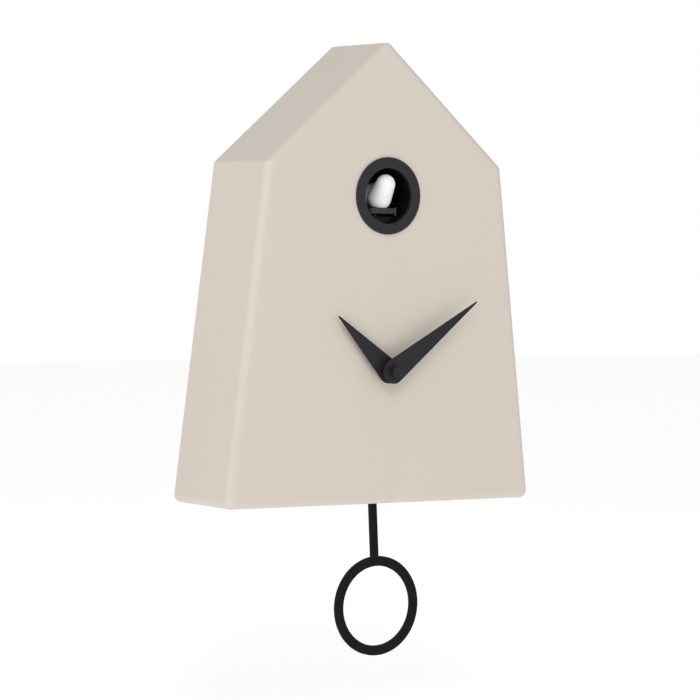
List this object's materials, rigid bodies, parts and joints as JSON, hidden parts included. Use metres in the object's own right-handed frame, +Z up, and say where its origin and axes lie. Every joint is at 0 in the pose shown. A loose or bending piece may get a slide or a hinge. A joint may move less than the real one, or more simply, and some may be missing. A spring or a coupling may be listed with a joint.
{
  "type": "cuckoo clock",
  "caption": "House-shaped wall clock with flat dagger hands, a small bird that slides out of a round window and a swinging ring pendulum.",
  "frame": {"origin": "top of the keyhole in the wall plane, where the wall screw's neck rests", "axes": "+X to the viewer's right, -Y out of the front towards the viewer, +Z up; the wall is the plane y = 0"},
  "size_m": [0.269, 0.0918, 0.4543],
  "materials": {
    "body_plastic": "satin moulded ABS, warm grey",
    "window_plastic": "fine matte black",
    "panel_plastic": "lightly grained black",
    "carriage_plastic": "satin black moulding",
    "control_plastic": "satin black",
    "bird_plastic": "satin white",
    "hand_paint": "matte black paint on aluminium",
    "brass_parts": "turned brass",
    "steel_parts": "zinc-plated steel",
    "motor_can": "drawn steel can",
    "gear_plastic": "natural acetal",
    "case_plastic": "black moulded case",
    "washer_rubber": "soft black rubber",
    "copper_wire": "enamelled copper winding",
    "ferrite": "dark grey ferrite",
    "speaker_paper": "black paper cone",
    "circuit_board": "green solder mask",
    "sensor_lens": "clear lens",
    "cell_wrap": "plain printed wrap"
  },
  "bodies": {
    "clock": {"house_shell": "body_plastic", "back_panel": "panel_plastic", "panel_screw_1": "steel_parts", "panel_screw_2": "steel_parts", "panel_screw_3": "steel_parts", "panel_screw_4": "steel_parts", "battery_box": "panel_plastic", "battery_cell_1": "cell_wrap", "battery_cell_2": "cell_wrap", "battery_contact_left": "steel_parts", "battery_contact_right": "steel_parts", "speaker_basket": "motor_can", "speaker_cone": "speaker_paper", "speaker_magnet": "ferrite", "sound_board": "circuit_board", "light_sensor": "sensor_lens", "window_bezel": "window_plastic", "cuckoo_chassis": "carriage_plastic", "chassis_screw_1": "steel_parts", "chassis_screw_2": "steel_parts", "drive_pin": "steel_parts", "cuckoo_motor": "motor_can", "movement_front_case": "case_plastic", "movement_back_case": "case_plastic", "movement_cell": "cell_wrap", "shaft_bush": "brass_parts", "rubber_washer": "washer_rubber", "shaft_nut": "brass_parts", "stepper_core": "steel_parts", "stepper_coil": "copper_wire", "movement_board": "circuit_board", "drive_coil": "copper_wire", "pivot_pin": "steel_parts"},
    "minute_hand_and_arbor": {"minute_arbor": "steel_parts", "centre_wheel": "gear_plastic", "minute_hand": "hand_paint", "hand_cap": "hand_paint"},
    "hour_hand_and_wheel": {"hour_wheel": "gear_plastic", "hour_hand": "hand_paint"},
    "motion_work": {"motion_wheel": "gear_plastic"},
    "setting_knob": {"setting_knob": "control_plastic"},
    "third_wheel": {"third_wheel": "gear_plastic"},
    "second_wheel": {"second_wheel": "gear_plastic"},
    "pendulum": {"pendulum_lever": "control_plastic", "drive_magnet": "ferrite", "pendulum": "hand_paint"},
    "bird_carriage": {"bird_carriage": "carriage_plastic", "bird": "bird_plastic"},
    "drive_gear": {"drive_gear": "gear_plastic"},
    "motor_pinion": {"motor_pinion": "brass_parts"},
    "battery_door": {"battery_door": "panel_plastic"},
    "volume_slider": {"volume_slider": "control_plastic"},
    "test_button": {"test_button": "control_plastic"}
  },
  "joints": [
    {"name": "minute_turn", "type": "hinge", "parent": "clock", "child": "minute_hand_and_arbor", "pos_m": [0, -0.0745, -0.192], "axis": [0, 1, 0], "continuous": true},
    {"name": "hour_turn", "type": "hinge", "parent": "clock", "child": "hour_hand_and_wheel", "pos_m": [0, -0.0745, -0.192], "axis": [0, 1, 0], "continuous": true},
    {"name": "motion_turn", "type": "hinge", "parent": "clock", "child": "motion_work", "pos_m": [0.005, -0.0745, -0.20066], "axis": [0, 1, 0], "continuous": true},
    {"name": "setting_turn", "type": "hinge", "parent": "clock", "child": "setting_knob", "pos_m": [0.0144, -0.0745, -0.20408], "axis": [0, 1, 0], "continuous": true},
    {"name": "third_turn", "type": "hinge", "parent": "clock", "child": "third_wheel", "pos_m": [0, -0.0745, -0.1812], "axis": [0, 1, 0], "continuous": true},
    {"name": "second_turn", "type": "hinge", "parent": "clock", "child": "second_wheel", "pos_m": [-0.0102, -0.0745, -0.1812], "axis": [0, 1, 0], "continuous": true},
    {"name": "pendulum_swing", "type": "hinge", "parent": "clock", "child": "pendulum", "pos_m": [0, -0.0496, -0.172], "axis": [0, -1, 0], "range_deg": [-10.55, 3.45]},
    {"name": "bird_slide", "type": "slide", "parent": "clock", "child": "bird_carriage", "axis": [0, -1, 0], "range_m": [0, 0.022]},
    {"name": "drive_turn", "type": "hinge", "parent": "clock", "child": "drive_gear", "pos_m": [0, -0.0345, -0.0828], "axis": [1, 0, 0], "range_deg": [0, 350.34]},
    {"name": "motor_turn", "type": "hinge", "parent": "clock", "child": "motor_pinion", "pos_m": [0, -0.0345, -0.0953], "axis": [-1, 0, 0], "range_deg": [0, 1401.36]},
    {"name": "door_slide", "type": "slide", "parent": "clock", "child": "battery_door", "axis": [1, 0, 0], "range_m": [0, 0.012]},
    {"name": "volume_slide", "type": "slide", "parent": "clock", "child": "volume_slider", "axis": [1, 0, 0], "range_m": [-0.003, 0.003]},
    {"name": "button_press", "type": "slide", "parent": "clock", "child": "test_button", "axis": [0, -1, 0], "range_m": [0, 0.0015], "stiffness_N_per_m": 400}
  ],
  "couplings": [
    {"joint": "hour_turn", "follows": "minute_turn", "ratio": 0.083333},
    {"joint": "motion_turn", "follows": "minute_turn", "ratio": -0.33333},
    {"joint": "setting_turn", "follows": "minute_turn", "ratio": 1},
    {"joint": "third_turn", "follows": "minute_turn", "ratio": -8},
    {"joint": "second_turn", "follows": "minute_turn", "ratio": 60},
    {"joint": "drive_turn", "follows": "bird_slide", "rad_per_m": 277.78},
    {"joint": "motor_turn", "follows": "bird_slide", "rad_per_m": 1111.1}
  ]
}
